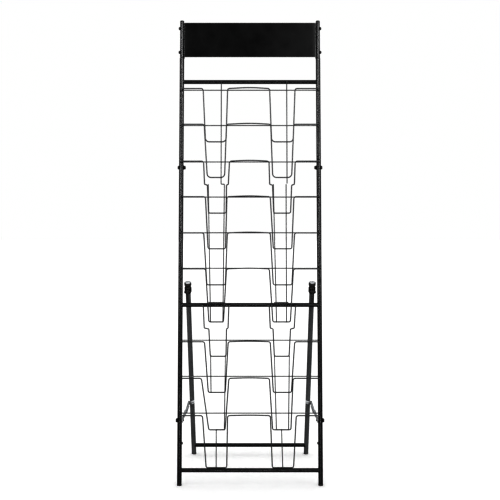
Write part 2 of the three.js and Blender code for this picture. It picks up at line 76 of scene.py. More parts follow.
HEADER_JOINT = 1405.5
SECTION_JOINT = 1060.0
SECTION_BOLT = 1034.2
FRAME_TOP = 1532.6
SPIGOT_LENGTH = 52.0
TOP_BAR = 1324.0
MIDDLE_BAR = 580.0
BOTTOM_BAR = 48.0
BAR_SETBACK = 2.2
FOOT_FLANGE = 4.0
FOOT_SHANK = 20.0
STOP_HEIGHT = 134.0

# Pocket rows from the top: the heights of the back wire and of the shelf, then the x of the left
# pocket's two legs and of the right pocket's two, under the front wire and at the shelf. Two rows
# have legs that step inwards past a frame joint, at STEP_START and STEP_END below the back wire.
ROWS = [
    {"back": 1292.8, "shelf": 1118.8, "top": (-154, -73.5, 64.5, 148), "foot": (-147.5, -79.5, 71.5, 143)},
    {"back": 1173.7, "shelf": 999.7, "top": (-150, -77, 68, 143.5), "foot": (-141, -84, 75, 137.5)},
    {"back": 1051.5, "shelf": 881.3, "top": (-151.5, -67, 62, 147.5), "foot": (-136.5, -78.5, 78, 133.5),
     "step_from": (-149, -71, 64.5, 145.5), "step_to": (-139.5, -77, 74, 136.5)},
    {"back": 934.6, "shelf": 763.6, "top": (-145, -75, 66, 143), "foot": (-137.5, -80.5, 76.5, 137)},
    {"back": 816.4, "shelf": 645.4, "top": (-150, -73.5, 66, 144.5), "foot": (-141, -80.5, 76, 137)},
    {"back": 699.7, "shelf": 524.7, "top": (-143.5, -76, 62.5, 140.5), "foot": (-134, -86.5, 74.5, 131.5)},
    {"back": 582.6, "shelf": 413.6, "top": (-150.5, -68, 62, 147), "foot": (-129, -78, 79, 127),
     "step_from": (-148, -71, 65.5, 143), "step_to": (-133, -76, 74.5, 131)},
    {"back": 465.5, "shelf": 297.5, "top": (-146, -70, 65, 143.5), "foot": (-135, -80, 75.5, 134)},
    {"back": 349.1, "shelf": 178.1, "top": (-155.5, -67.5, 62, 138), "foot": (-133, -80.5, 73, 132)},
    {"back": 231.2, "shelf": 56.5, "top": (-151.5, -71.5, 65, 147.5), "foot": (-141.5, -75, 72, 140.5)},
]
BAR_ROW = 7  # the middle bar takes the place of this row's back wire
COLUMN_X = 109.0
STEP_START = 77.0
STEP_END = 80.5
BACK_WIRE = 1.5
POCKET_WIRE = 1.8
BACK_WIRE_Y = -(POST + 0.6 + BACK_WIRE)
UPRIGHT_WIRE_Y = BACK_WIRE_Y + 2 * BACK_WIRE + GAP
POCKET_FRONT_Y = -42.0
SHELF_Y = UPRIGHT_WIRE_Y - BACK_WIRE - GAP - POCKET_WIRE - 0.05
BOTTOM_SHELF_Y = -2.3
FRONT_WIRE_FALL = 3.5
BRIDGE_RISE = 2.5
BRIDGE_BULGE = 5.0
BRIDGE_RADIUS = 400
SHELF_CORNER = 6.0  # bends of a row's wire
WIDE_SHELF_CORNER = 13.0  # in the two uppermost rows
LEG_CORNER = 7.0
STEP_CORNER = 2.2
WIRE_END_INSET = 3.0  # the ends of a row's wire lie on the posts, a little in from their middle
UPPER_WIRE_OFFSET = 13.4
UPPER_WIRE_END = 980.0
MIDDLE_LADDER_TOP = 978.0
TIE_HEIGHT = MIDDLE_BAR + 8.2
TIE_OVERHANG = 6.0
LADDERS = {  # offsets of the upright wires from the column's middle, at the top and at the bottom
    "left": {"middle": ((-29, -19.7), (24.5, 20.5)), "lower": ((-19, -15.6), (29, 26)), "stem": (0, 0)},
    "right": {"middle": ((-32, -22.4), (10.2, 10.2)), "lower": ((-29.7, -23.6), (18.9, 15.6)),
              "stem": (-7, -3.5)},
}
WELD = {  # half sizes of the lumps of weld on the wires
    "wire_end": (2.7, 1.5, 2.5),
    "back_wire": (3.0, 1.5, 2.4),
    "crossing": (2.0, 1.3, 2.0),
    "shelf": (2.1, 1.3, 2.1),
    "top_bar": (2.4, 1.6, 4.0),
    "top_bar_drip": (3.0, 2.4, 1.8),
    "middle_bar": (2.3, 1.4, 4.2),
    "tie": (2.2, 1.9, 2.1),
    "bottom_bar": (2.4, 1.8, 2.2),
}

PANEL_LOW = 1406.2
PANEL_HIGH = 1523.0
PANEL_HALF = 221.2
PANEL_FRONT = -8.0
PANEL_DEPTH = 18.0
SHEET = 1.2
PANEL_BEND = 3.0
HEADER_BOLTS = {"upper": 1506.1, "lower": 1424.6}

HINGE_OFFSET = 19.0
LEG_ABOVE_HINGE = 17.5
REAR_BAR_DOWN = 635.3
LUG_HALF = 7.5
LUG_THICK = 3.0
COLLAR = 11.2
COLLAR_HALF = 8.0
EAR_THICK = 3.5
EAR_FACE = LUG_THICK / 2 + 0.35
BRACE_HALF = 7.5
BRACE_THICK = 2.0
BRACE_FRONT_SHARE = 0.434
FLANGE_REACH = 7.3  # folded edges of the links, in from the post's face
BRACE_LEG_DOWN = 446.7
BRACE_LEG_FORWARD = 6.0

HEAD_SIDES = 48  # points round a bolt head, its recess or a nut
WASHER_THICK = 1.2
THREAD_PITCH = 0.8

CAMERA_BACK = 2475.0  # in front of the front feet
CAMERA_HEIGHT = 854.0
CAMERA_DOWN = math.radians(2.2)
CAMERA_LENS = 56.0

SIDES = {"left": -1, "right": 1}

# ------------------------ places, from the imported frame
mounts = {mount["name"]: mount for mount in frame["record"]["mounts"]}
joints = {joint["name"]: joint for joint in frame["joints"]}
front_foot = Vector(mounts["front_foot_left_pad"]["pos_m"])
rear_foot = Vector(mounts["rear_foot_left_pad"]["pos_m"])
face_axis = mounts["header_face"]["axis"]
hinge = Vector(joints["leg_frame_fold"]["pos_m"])
lean = math.atan2(face_axis[2], -face_axis[1])
foot_run = rear_foot.y - hinge.y
foot_offset = HINGE_OFFSET * MM
leg_length = math.sqrt(foot_run**2 + hinge.z**2 - foot_offset**2) / MM
leg_lean = math.atan2(foot_run, hinge.z) - math.atan2(HINGE_OFFSET, leg_length)


def group_at(origin, turn):
    """A group whose own millimetres are turned about x and moved to an origin in metres."""
    return Matrix.Translation(origin) @ Matrix.Rotation(turn, 4, "X") @ Matrix.Scale(MM, 4)


FRONT = group_at((0, front_foot.y, 0), -lean)
REAR = group_at((0, hinge.y, hinge.z), leg_lean)
post_pivot = Vector(joints["left_brace_swing"]["pos_m"])
knuckle = Vector(joints["left_brace_knuckle"]["pos_m"])
brace_run = knuckle - post_pivot
BRACE = group_at((0, post_pivot.y, post_pivot.z), math.atan2(brace_run.z, brace_run.y))
link_front = math.hypot(brace_run.y, brace_run.z) / MM
link_rear = link_front * (1 - BRACE_FRONT_SHARE) / BRACE_FRONT_SHARE


# ------------------------ materials
class Nodes:
    """A material's node tree, with short ways to add and join nodes."""

    def __init__(self, name):
        self.material = bpy.data.materials.new(name)
        self.material.use_nodes = True
        self.tree = self.material.node_tree
        self.shader = self.tree.nodes["Principled BSDF"]
        self.place = self.tree.nodes.new("ShaderNodeTexCoord").outputs["Object"]

    def link(self, source, target):
        self.tree.links.new(source, target)

    def stretched(self, scale):
        node = self.tree.nodes.new("ShaderNodeMapping")
        node.inputs["Scale"].default_value = scale
        self.link(self.place, node.inputs["Vector"])
        return node.outputs["Vector"]

    def noise(self, scale, detail, vector=None):
        node = self.tree.nodes.new("ShaderNodeTexNoise")
        node.inputs["Scale"].default_value = scale
        node.inputs["Detail"].default_value = detail
        self.link(vector or self.place, node.inputs["Vector"])
        return node.outputs["Fac"]

    def spread(self, value, low, high, to_low=0.0, to_high=1.0):
        node = self.tree.nodes.new("ShaderNodeMapRange")
        for name, number in zip(("From Min", "From Max", "To Min", "To Max"),
                                (low, high, to_low, to_high)):
            node.inputs[name].default_value = number
        self.link(value, node.inputs["Value"])
        return node.outputs["Result"]

    def times(self, first, second):
        node = self.tree.nodes.new("ShaderNodeMath")
        node.operation = "MULTIPLY"
        self.link(first, node.inputs[0])
        self.link(second, node.inputs[1])
        return node.outputs[0]

    def worn(self):
        node = self.tree.nodes.new("ShaderNodeAttribute")
        node.attribute_name = "wear"
        return node.outputs["Fac"]

    def mix(self, share, first, second):
        node = self.tree.nodes.new("ShaderNodeMix")
        node.data_type = "RGBA"
        self.link(share, node.inputs[0])
        for socket, colour in ((node.inputs[6], first), (node.inputs[7], second)):
            if isinstance(colour, tuple):
                socket.default_value = (*colour, 1)
            else:
                self.link(colour, socket)
        return node.outputs[2]

    def bump(self, height, strength, depth, under=None):
        node = self.tree.nodes.new("ShaderNodeBump")
        node.inputs["Strength"].default_value = strength
        node.inputs["Distance"].default_value = depth
        self.link(height, node.inputs["Height"])
        if under:
            self.link(under, node.inputs["Normal"])
        return node.outputs["Normal"]


def grey(level, warmth=0.0):
    return (level * (1 + warmth), level, level * (1 - warmth))


def powder_coat(name, level, roughness, peel, chips):
    """Baked powder paint: cloudy tone, orange-peel skin, and steel showing at rubbed edges."""
    nodes = Nodes(name)
    cloud = nodes.noise(9, 3)
    speck = nodes.noise(1900, 1)
    tone = nodes.mix(nodes.spread(cloud, 0.35, 0.68), grey(level, -0.03), grey(level * 1.35, -0.02))
    tone = nodes.mix(nodes.spread(speck, 0.66, 0.8), tone, grey(level * 1.5))
    rubbed = nodes.spread(nodes.times(nodes.worn(), nodes.noise(520, 5)), 0.46, 0.56, 0, chips)
    tone = nodes.mix(rubbed, tone, grey(0.14, 0.04))
    nodes.link(tone, nodes.shader.inputs["Base Color"])
    dull = nodes.spread(nodes.noise(24, 4), 0.3, 0.7, roughness, roughness + 0.07)
    nodes.link(dull, nodes.shader.inputs["Roughness"])
    nodes.shader.inputs["Specular IOR Level"].default_value = 0.5
    fine = nodes.bump(nodes.noise(900, 1), peel, 0.00002)
    broad = nodes.bump(nodes.noise(150, 2), peel * 0.3, 0.0002, fine)
    nodes.link(broad, nodes.shader.inputs["Normal"])
    return nodes.material


def zinc_plate(name):
    """Zinc-plated strip: rolled streaks, milky blooms and dark grease at the worn edges."""
    nodes = Nodes(name)
    streak = nodes.noise(60, 4, nodes.stretched((6, 1, 14)))
    bloom = nodes.noise(140, 4)
    tone = nodes.mix(nodes.spread(streak, 0.3, 0.7), grey(0.42, -0.02), grey(0.56, -0.03))
    tone = nodes.mix(nodes.spread(bloom, 0.5, 0.75, 0, 0.6), tone, grey(0.64))
    grime = nodes.spread(nodes.times(nodes.worn(), nodes.noise(330, 4)), 0.38, 0.6, 0, 0.55)
    tone = nodes.mix(grime, tone, grey(0.10, 0.08))
    nodes.link(tone, nodes.shader.inputs["Base Color"])
    nodes.link(nodes.spread(bloom, 0.3, 0.7, 0.34, 0.52), nodes.shader.inputs["Roughness"])
    nodes.shader.inputs["Metallic"].default_value = 0.55
    nodes.link(nodes.bump(streak, 0.25, 0.0001), nodes.shader.inputs["Normal"])
    return nodes.material


def black_oxide(name):
    """Oiled black steel of the fasteners, brighter where a tool has rubbed it."""
    nodes = Nodes(name)
    cloud = nodes.noise(420, 4)
    tone = nodes.mix(nodes.spread(cloud, 0.3, 0.7), grey(0.012), grey(0.03, 0.03))
    rubbed = nodes.spread(nodes.times(nodes.worn(), nodes.noise(900, 4)), 0.36, 0.5, 0, 0.8)
    tone = nodes.mix(rubbed, tone, grey(0.2))
    nodes.link(tone, nodes.shader.inputs["Base Color"])
    nodes.link(nodes.spread(cloud, 0.3, 0.7, 0.34, 0.5), nodes.shader.inputs["Roughness"])
    nodes.shader.inputs["Metallic"].default_value = 0.4
    nodes.link(nodes.bump(nodes.noise(1800, 2), 0.3, 0.0001), nodes.shader.inputs["Normal"])
    return nodes.material


def moulded(name, level):
    """Matt moulded rubber or plastic with a sparked mould skin and pale scuffs."""
    nodes = Nodes(name)
    cloud = nodes.noise(90, 4)
    tone = nodes.mix(nodes.spread(cloud, 0.3, 0.7), grey(level), grey(level * 1.8, 0.02))
    scuff = nodes.spread(nodes.times(nodes.worn(), nodes.noise(260, 6)), 0.42, 0.6, 0, 0.5)
    tone = nodes.mix(scuff, tone, grey(level * 4 + 0.012, 0.02))
    nodes.link(tone, nodes.shader.inputs["Base Color"])
    nodes.link(nodes.spread(cloud, 0.3, 0.7, 0.55, 0.72), nodes.shader.inputs["Roughness"])
    nodes.link(nodes.bump(nodes.noise(2200, 3), 0.35, 0.00015), nodes.shader.inputs["Normal"])
    return nodes.material


MATERIALS = {
    "tube_paint": powder_coat("tube_powder_coat", level=0.012, roughness=0.24, peel=0.05, chips=0.5),
    # A lighter, rougher copy of the tube paint for the rear legs: painted light, standing in for the light
    # the legs catch from the floor.
    "leg_paint_painted_light": powder_coat("leg_powder_coat_painted_light", level=0.068, roughness=0.34, peel=0.05, chips=0.5),
    "wire_paint": powder_coat("wire_powder_coat", level=0.03, roughness=0.28, peel=0.04, chips=0.4),
    "panel_paint": powder_coat("panel_powder_coat", level=0.0025, roughness=0.30, peel=0.05, chips=0.5),
    "zinc": zinc_plate("zinc_plate"),
    "black_bolt": black_oxide("black_oxide"),
    "rubber": moulded("black_rubber", level=0.02),
}


# ------------------------ shapes
def circle(radius, sides):
    """A round outline, as the distance from the middle for each of its points."""
    return [radius] * sides


def folded_angle(index, sides, corners):
    """How far a point of an outline is from the middle of the nearest of its flats."""
    flat = 2 * math.pi / corners
    angle = 2 * math.pi * index / sides
    return (angle + flat / 2) % flat - flat / 2


def hexagon(half_flats):
    """A six-sided outline with slightly rounded corners."""
    widest = half_flats * 1.12
    flats = [half_flats / math.cos(folded_angle(i, HEAD_SIDES, 6)) for i in range(HEAD_SIDES)]
    return [min(radius, widest) for radius in flats]


def cross(arm, half_width):
    """The outline of a cross recess."""
    outline = []
    for i in range(HEAD_SIDES):
        angle = abs(folded_angle(i, HEAD_SIDES, 4))
        along_arm = angle < math.atan2(half_width, arm)
        outline.append(arm / math.cos(angle) if along_arm else half_width / math.sin(angle))
    return outline


class Shells:
    """Closed surfaces gathered for one mesh, in the millimetres of the group they belong to."""

    def __init__(self):
        self.points = []
        self.faces = []
        self.wear = []

    def rings(self, rings, wear=0.2, closed=False, capped=True):
        """Joins rings of equally many points. wear is a number, or one number per ring."""
        start = len(self.points)
        count = len(rings[0])
        amounts = wear if isinstance(wear, list) else [wear] * len(rings)
        for ring, amount in zip(rings, amounts):
            self.points.extend(ring)
            self.wear.extend([amount] * count)
        for i in range(len(rings) if closed else len(rings) - 1):
            low = start + i * count
            high = start + (i + 1) % len(rings) * count
            for j in range(count):
                k = (j + 1) % count
                self.faces.append((low + j, low + k, high + k, high + j))
        if capped and not closed:
            last = len(self.points) - count
            self.faces.append(tuple(reversed(range(start, start + count))))
            self.faces.append(tuple(range(last, last + count)))

    def stack(self, layers, place=Matrix(), wear=0.2, closed=False):
        """Outlines one above another: each layer is an outline and its height."""
        rings = []
        for outline, height in layers:
            step = 2 * math.pi / len(outline)
            rings.append([place @ Vector((r * math.cos(i * step), r * math.sin(i * step), height))
                          for i, r in enumerate(outline)])
        self.rings(rings, wear, closed)

    def turn(self, profile, place=Matrix(), sides=32, wear=0.2, rims=()):
        """A turned shape from (radius, height) pairs; it is rubbed at the heights in rims."""
        closed = profile[0] == profile[-1]
        steps = profile[:-1] if closed else profile
        amounts = [max(wear, *(1.0 - abs(z - rim) / 1.5 for rim in rims)) if rims else wear
                   for r, z in steps]
        self.stack([(circle(r, sides), z) for r, z in steps], place, amounts, closed)

    def sweep(self, path, radius, sides=12, wear=0.2):
        """A rod along a path, its ends chamfered. radius is a number, or one for each point."""
        radii = list(radius) if isinstance(radius, list) else [radius] * len(path)
        path = list(path)
        for end, inner in ((0, 1), (-1, -2)):
            inwards = (path[inner] - path[end]).normalized()
            shoulder = path[end] + inwards * radii[end] * 0.35
            path.insert(1 if end == 0 else len(path) - 1, shoulder)
            radii.insert(1 if end == 0 else len(radii) - 1, radii[end])
            radii[end] *= 0.7
        rings = []
        last = len(path) - 1
        before = (path[1] - path[0]).normalized()
        across = before.orthogonal().normalized()
        for i, point in enumerate(path):
            arriving = (point - path[max(i - 1, 0)]).normalized()
            leaving = (path[min(i + 1, last)] - point).normalized()
            ahead = (arriving + leaving).normalized()
            across = (before.rotation_difference(ahead) @ across).normalized()
            before = ahead
            over = ahead.cross(across)
            rings.append([point + across * radii[i] * math.cos(angle)
                          + over * radii[i] * math.sin(angle)
                          for angle in (2 * math.pi * j / sides for j in range(sides))])
        self.rings(rings, wear)

    def rod(self, start, end, radius):
        self.sweep([Vector(start), Vector(end)], radius)

    def plate(self, start, end, half, low, thick):
        """A flat bar with round ends that stands across x, between two (y, z) points."""
        steps = 14
        edge = 0.35
        along = math.atan2(end[1] - start[1], end[0] - start[0])
        rings = []
        for inset, x in ((edge, low), (0, low + edge), (0, low + thick - edge), (edge, low + thick)):
            ring = []
            for centre, first in ((start, along + math.pi / 2), (end, along - math.pi / 2)):
                for i in range(steps + 1):
                    angle = first + math.pi * i / steps
                    y = centre[0] + (half - inset) * math.cos(angle)
                    z = centre[1] + (half - inset) * math.sin(angle)
                    ring.append(Vector((x, y, z)))
            rings.append(ring)
        self.rings(rings, [0.25, 0.9, 0.9, 0.25])

    def nugget(self, centre, size, seed):
        """A lump of weld metal: a ball of the given half sizes with an uneven skin."""
        sides = 12
        bands = 7
        rings = []
        for i in range(bands + 1):
            tilt = math.pi * i / bands
            ring = []
            for j in range(sides):
                angle = 2 * math.pi * j / sides
                out = Vector((math.sin(tilt) * math.cos(angle), math.sin(tilt) * math.sin(angle),
                              math.cos(tilt)))
                swell = 1 + 0.22 * noise.noise(out * 1.4 + Vector((seed, seed * 0.7, 0)))
                ring.append(Vector([c + s * o * swell for c, s, o in zip(centre, size, out)]))
            rings.append(ring)
        self.rings(rings, wear=0.35)

    def bead(self, path, radius, seed):
        """A run of weld along a path, with the ripples of its pools."""
        radii = [radius * (1 + 0.16 * math.sin(i * 1.9) + 0.25 * noise.noise(Vector((i * 0.4, seed, 0))))
                 for i in range(len(path))]
        self.sweep(path, radii, sides=8, wear=0.35)


def softened(profile, radius):
    """Rounds the corners of a run of (radius, height) pairs."""
    steps = 3
    closed = profile[0] == profile[-1]
    points = [Vector(pair) for pair in (profile[:-1] if closed else profile)]
    result = []
    for i, corner in enumerate(points):
        if not closed and i in (0, len(points) - 1):
            result.append(tuple(corner))
            continue
        back = points[i - 1] - corner
        ahead = points[(i + 1) % len(points)] - corner
        reach = min(radius, 0.45 * back.length, 0.45 * ahead.length)
        start = corner + back.normalized() * reach
        end = corner + ahead.normalized() * reach
        for step in range(steps + 1):
            t = step / steps
            point = start * (1 - t) ** 2 + corner * 2 * t * (1 - t) + end * t * t
            result.append(tuple(point))
    return result + [result[0]] if closed else result


def rounded(corners):
    """Rounds each inner corner of a run of (x, y, z, radius) points."""
    steps = 7
    at = [Vector(corner[:3]) for corner in corners]
    path = [at[0]]
    for i in range(1, len(at) - 1):
        radius = corners[i][3]
        if radius == 0:
            path.append(at[i])
            continue
        back = at[i - 1] - at[i]
        ahead = at[i + 1] - at[i]
        turn = math.pi - back.angle(ahead)
        reach = min(radius * math.tan(turn / 2), 0.48 * min(back.length, ahead.length))
        pull = 4 / 3 * math.tan(turn / 4) * reach / math.tan(turn / 2)
        start = at[i] + back.normalized() * reach
        end = at[i] + ahead.normalized() * reach
        leaving = start - back.normalized() * pull
        arriving = end - ahead.normalized() * pull
        for step in range(steps + 1):
            t = step / steps
            path.append(start * (1 - t) ** 3 + leaving * 3 * t * (1 - t) ** 2
                        + arriving * 3 * t * t * (1 - t) + end * t**3)
    return path + [at[-1]]


def at(x, y, z):
    return Matrix.Translation((x, y, z))


def aimed(side, x, y, z):
    """Places a shape that points along z so that it points outwards along x on one side."""
    return at(x, y, z) @ Matrix.Rotation(side * math.pi / 2, 4, "Y")


# ------------------------ pieces
BODY_OF = {node: shown["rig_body"] for node, shown in frame["nodes"].items()}


def trim_below_floor(bm):
    everything = bm.verts[:] + bm.edges[:] + bm.faces[:]
    bmesh.ops.bisect_plane(bm, geom=everything, plane_co=(0, 0, 0), plane_no=(0, 0, -1),
                           clear_outer=True)
    rim = [edge for edge in bm.edges if edge.is_boundary]
    bmesh.ops.contextual_create(bm, geom=rim)


def make_piece(name, shells, group, body, slot, stands_for=(), on_floor=False, paint=None):
    """Turns shells into a named mesh that rides on a body and is finished as a slot."""
    bm = bmesh.new()
    worn = bm.verts.layers.float.new("wear")
    corners = []
    for point, amount in zip(shells.points, shells.wear):
        corner = bm.verts.new(group @ point)
        corner[worn] = amount
        corners.append(corner)
    for face in shells.faces:
        bm.faces.new([corners[i] for i in face])
    bmesh.ops.remove_doubles(bm, verts=bm.verts[:], dist=1e-7)
    if on_floor:
        trim_below_floor(bm)
    bmesh.ops.recalc_face_normals(bm, faces=bm.faces[:])
    mesh = bpy.data.meshes.new(name)
    bm.to_mesh(mesh)
    bm.free()
    mesh.polygons.foreach_set("use_smooth", [True] * len(mesh.polygons))
    mesh.set_sharp_from_angle(angle=math.radians(42))
    mesh.materials.append(MATERIALS[paint or slot])
    made = bpy.data.objects.new(name, mesh)
    bpy.context.scene.collection.objects.link(made)
    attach(made, body)
    if stands_for:
        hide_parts(*stands_for)
    return made


def finish_node(node, shells, group, slot, on_floor=False, paint=None):
    """The finished piece that stands for one CAD node."""
    return make_piece(f"{node}_finished", shells, group, BODY_OF[node], slot, [node], on_floor, paint)


def tube_profile(outer, low, high):
    """An open-ended tube, with a band near each end for the rubbed rims."""
    inner = outer - TUBE_WALL
    outside = [(outer, low), (outer, low + RIM_BAND), (outer, high - RIM_BAND), (outer, high)]
    return outside + [(inner, high), (inner, low), (outer, low)]


def swaged_profile(outer, joint, high):
    """A tube whose lower end is drawn in to slide into the tube below."""
    bottom = joint - SPIGOT_LENGTH
    inner = outer - TUBE_WALL
    return [
        (SPIGOT, bottom),
        (SPIGOT, joint),
        (outer, joint + 1.4),
        (outer, joint + RIM_BAND),
        (outer, high - RIM_BAND),
        (outer, high),
        (inner, high),
        (inner, joint + 2.4),
        (SPIGOT - TUBE_WALL, joint + 1),
        (SPIGOT - TUBE_WALL, bottom),
        (SPIGOT, bottom),
    ]


def foot_profile(radius, shank, tube_end, below):
    """A foot plugged into a tube's end. It reaches lower than the floor, where it is cut off."""
    flange = tube_end + FOOT_FLANGE
    inside = tube_end + FOOT_SHANK
    return softened([(0, tube_end - below), (radius, tube_end - below), (radius, flange),
                     (shank, flange), (shank, inside), (0, inside)], 0.5)


def button_head(radius, height, recess):
    """Layers of a domed screw head with a recess sunk in its top."""
    depth = height * 0.45
    dome = [(0.94, 0), (1, 0.12), (1, 0.3), (0.93, 0.6), (0.78, 0.86), (0.58, 1)]
    return [
        *((circle(radius * across, HEAD_SIDES), height * up) for across, up in dome),
        (recess, height),
        (recess, height - depth),
        (circle(0, HEAD_SIDES), height - depth * 1.2),
    ]


def hex_layers(half_flats, low, high):
    """Layers of a hexagon head or nut with chamfered corners."""
    chamfer = 0.09 * half_flats
    rim = circle(half_flats * 0.97, HEAD_SIDES)
    return [
        (rim, low),
        (hexagon(half_flats), low + chamfer),
        (hexagon(half_flats), high - chamfer),
        (rim, high),
        (circle(0, HEAD_SIDES), high),
    ]


def add_washer(shells, place, radius, thick=WASHER_THICK):
    rim = softened([(0, 0), (radius, 0), (radius, thick), (0, thick)], 0.3)
    shells.turn(rim, place, sides=40, wear=0.5)


def add_nut(shells, place, half_flats, height, stub):
    """A washer, a nut and the end of the bolt that comes through it."""
    add_washer(shells, place, half_flats * 1.35)
    shells.stack(hex_layers(half_flats, WASHER_THICK, height), place, wear=0.55)
    collar = [(half_flats * 0.8, height - 0.2), (half_flats * 0.72, height + 1.1), (0, height + 1.1)]
    shells.turn([(0, height - 0.2)] + softened(collar, 0.4), place, wear=0.3)
    thread = [(0, height)]
    for i in range(int(stub / THREAD_PITCH)):
        turn = height + THREAD_PITCH * i
        thread += [(2.5, turn + 0.1), (2.15, turn + 0.5)]
    shells.turn(thread + [(1.8, height + stub), (0, height + stub)], place, sides=24, wear=0.6)


def add_shank(shells, place, radius, length):
    shells.turn([(0, 0.5), (radius, 0.5), (radius, -length), (0, -length)], place, sides=20, wear=0.3)


# ------------------------ posts and header
def finish_posts(name, side):
    x = side * POST_X
    lower = Shells()
    lower.turn(softened(tube_profile(POST, FOOT_FLANGE + GAP, SECTION_JOINT), 0.45), at(x, 0, 0), 44,
               rims=(FOOT_FLANGE + GAP, SECTION_JOINT))
    finish_node(f"post_lower_{name}", lower, FRONT, "tube_paint")

    upper = Shells()
    upper.turn(softened(swaged_profile(POST, SECTION_JOINT + GAP, HEADER_JOINT), 0.45), at(x, 0, 0), 44,
               rims=(SECTION_JOINT + 1.7, HEADER_JOINT))
    finish_node(f"post_upper_{name}", upper, FRONT, "tube_paint")

    header = Shells()
    top = FRAME_TOP - 2
    header.turn(softened(swaged_profile(UPRIGHT, HEADER_JOINT + GAP, top), 0.4), at(x, 0, 0), 40,
                rims=(HEADER_JOINT + 1.7, top))
    finish_node(f"header_upright_{name}", header, FRONT, "tube_paint")

    plug = Shells()
    bore = UPRIGHT - TUBE_WALL - 0.05
    plug.turn(softened([(0, top - 12), (bore, top - 12), (bore, top), (UPRIGHT, top),
                        (UPRIGHT - 0.2, top + 1.2), (UPRIGHT - 2.6, top + 2), (0, top + 2.1)], 0.35),
              at(x, 0, 0.02), 40, rims=(top + 1.2,))
    make_piece(f"header_plug_{name}", plug, FRONT, "front_frame", "rubber")

    foot = Shells()
    foot.turn(foot_profile(POST + 0.3, POST - TUBE_WALL - 0.1, 0, below=3), at(x, 0, 0), 44, 0.6)
    finish_node(f"front_foot_{name}", foot, FRONT, "rubber", on_floor=True)

    stop = Shells()
    stop.turn(softened([(0, -1.5), (4.4, -1.5), (4.4, 1.1), (3.9, 2.6), (1.6, 3.7), (0, 3.8)], 0.5),
              aimed(-side, side * (POST_X - POST + 0.4), 0, STOP_HEIGHT), 28, 0.4)
    make_piece(f"stop_button_{name}", stop, FRONT, "front_frame", "rubber")


def finish_post_bolts(name, side):
    bolt = Shells()
    outside = aimed(side, side * (POST_X + POST + GAP), 0, SECTION_BOLT)
    bolt.stack(button_head(radius=5.9, height=4.2, recess=hexagon(2.0)), outside, wear=0.55)
    add_shank(bolt, outside, radius=2.9, length=2 * POST + 7)
    finish_node(f"section_bolt_{name}", bolt, FRONT, "black_bolt")
    nut = Shells()
    inside = aimed(-side, side * (POST_X - POST), 0, SECTION_BOLT)
    add_nut(nut, inside, half_flats=5.4, height=6.0, stub=0.9)
    make_piece(f"section_nut_{name}", nut, FRONT, "front_frame", "black_bolt")

    thin_washer = 0.9
    for level, height in HEADER_BOLTS.items():
        bolt = Shells()
        outside = aimed(side, side * (POST_X + UPRIGHT + GAP), 0, height)
        add_washer(bolt, outside, radius=5.2, thick=thin_washer)
        head = outside @ at(0, 0, thin_washer)
        recess = cross(arm=2.0, half_width=0.55)
        bolt.stack(button_head(radius=4.6, height=3.6, recess=recess), head, wear=0.55)
        add_shank(bolt, outside, radius=2.5, length=2 * UPRIGHT + 7)
        finish_node(f"header_bolt_{level}_{name}", bolt, FRONT, "black_bolt")
        nut = Shells()
        inside = aimed(-side, side * (PANEL_HALF - SHEET), 0, height)
        add_nut(nut, inside, half_flats=4.0, height=4.4, stub=2.0)
        make_piece(f"header_nut_{level}_{name}", nut, FRONT, "front_frame", "black_bolt")

    pivot = FRONT.inverted() @ post_pivot
    bolt = Shells()
    outside = aimed(side, side * (POST_X + POST + GAP), pivot.y, pivot.z)
    add_washer(bolt, outside, radius=7.0)
    bolt.stack(hex_layers(half_flats=5.6, low=WASHER_THICK, high=4.9), outside, wear=0.5)
    add_shank(bolt, outside, radius=2.5, length=2 * POST + 6.5)
    finish_node(f"brace_bolt_{name}", bolt, FRONT, "black_bolt")


def finish_panel():
    """The header sheet, bent back along both side edges."""
    bend_steps = 8
    edge = 0.35
    rubbed_strip = 5
    side_strip = 14
    heights = [(PANEL_LOW, edge), (PANEL_LOW + edge, 0), (PANEL_LOW + RIM_BAND, 0),
               (PANEL_HIGH - RIM_BAND, 0), (PANEL_HIGH - edge, 0), (PANEL_HIGH, edge)]
    back = PANEL_FRONT + PANEL_DEPTH
    centre_y = PANEL_FRONT + PANEL_BEND

    def half_section(depth):
        """From the flange's back edge to the middle, at a depth inside the outer face."""
        bend = PANEL_BEND - depth
        run = [(PANEL_HALF - depth, back), (PANEL_HALF - depth, back - rubbed_strip)]
        for i in range(bend_steps + 1):
            angle = math.pi / 2 * i / bend_steps
            run.append((PANEL_HALF - PANEL_BEND + bend * math.cos(angle),
                        centre_y - bend * math.sin(angle)))
        return run + [(PANEL_HALF - side_strip, PANEL_FRONT + depth)]

    def section(inset, height):
        faces = []
        for depth in (inset, SHEET - inset):
            right = half_section(depth)
            left = [(-x, y) for x, y in reversed(right)]
            faces.append([Vector((x, y, height)) for x, y in right + left])
        return faces[0] + faces[1][::-1]

    sheet = Shells()
    rings = [section(inset, height) for height, inset in heights]
    sheet.rings(rings, [1.0, 0.9, 0.15, 0.15, 0.9, 1.0], capped=False)
    count = len(rings[0])
    for first in (0, len(sheet.points) - count):
        for i in range(count // 2 - 1):
            sheet.faces.append((first + i, first + i + 1, first + count - 2 - i, first + count - 1 - i))
    finish_node("header_panel", sheet, FRONT, "panel_paint")


# ------------------------ crossbars and their welds
def coped_x(post_x, post_radius, y):
    """Where a bar at this depth meets the face of a round upright."""
    return post_x - math.sqrt(max(post_radius**2 - y * y, 0.6))


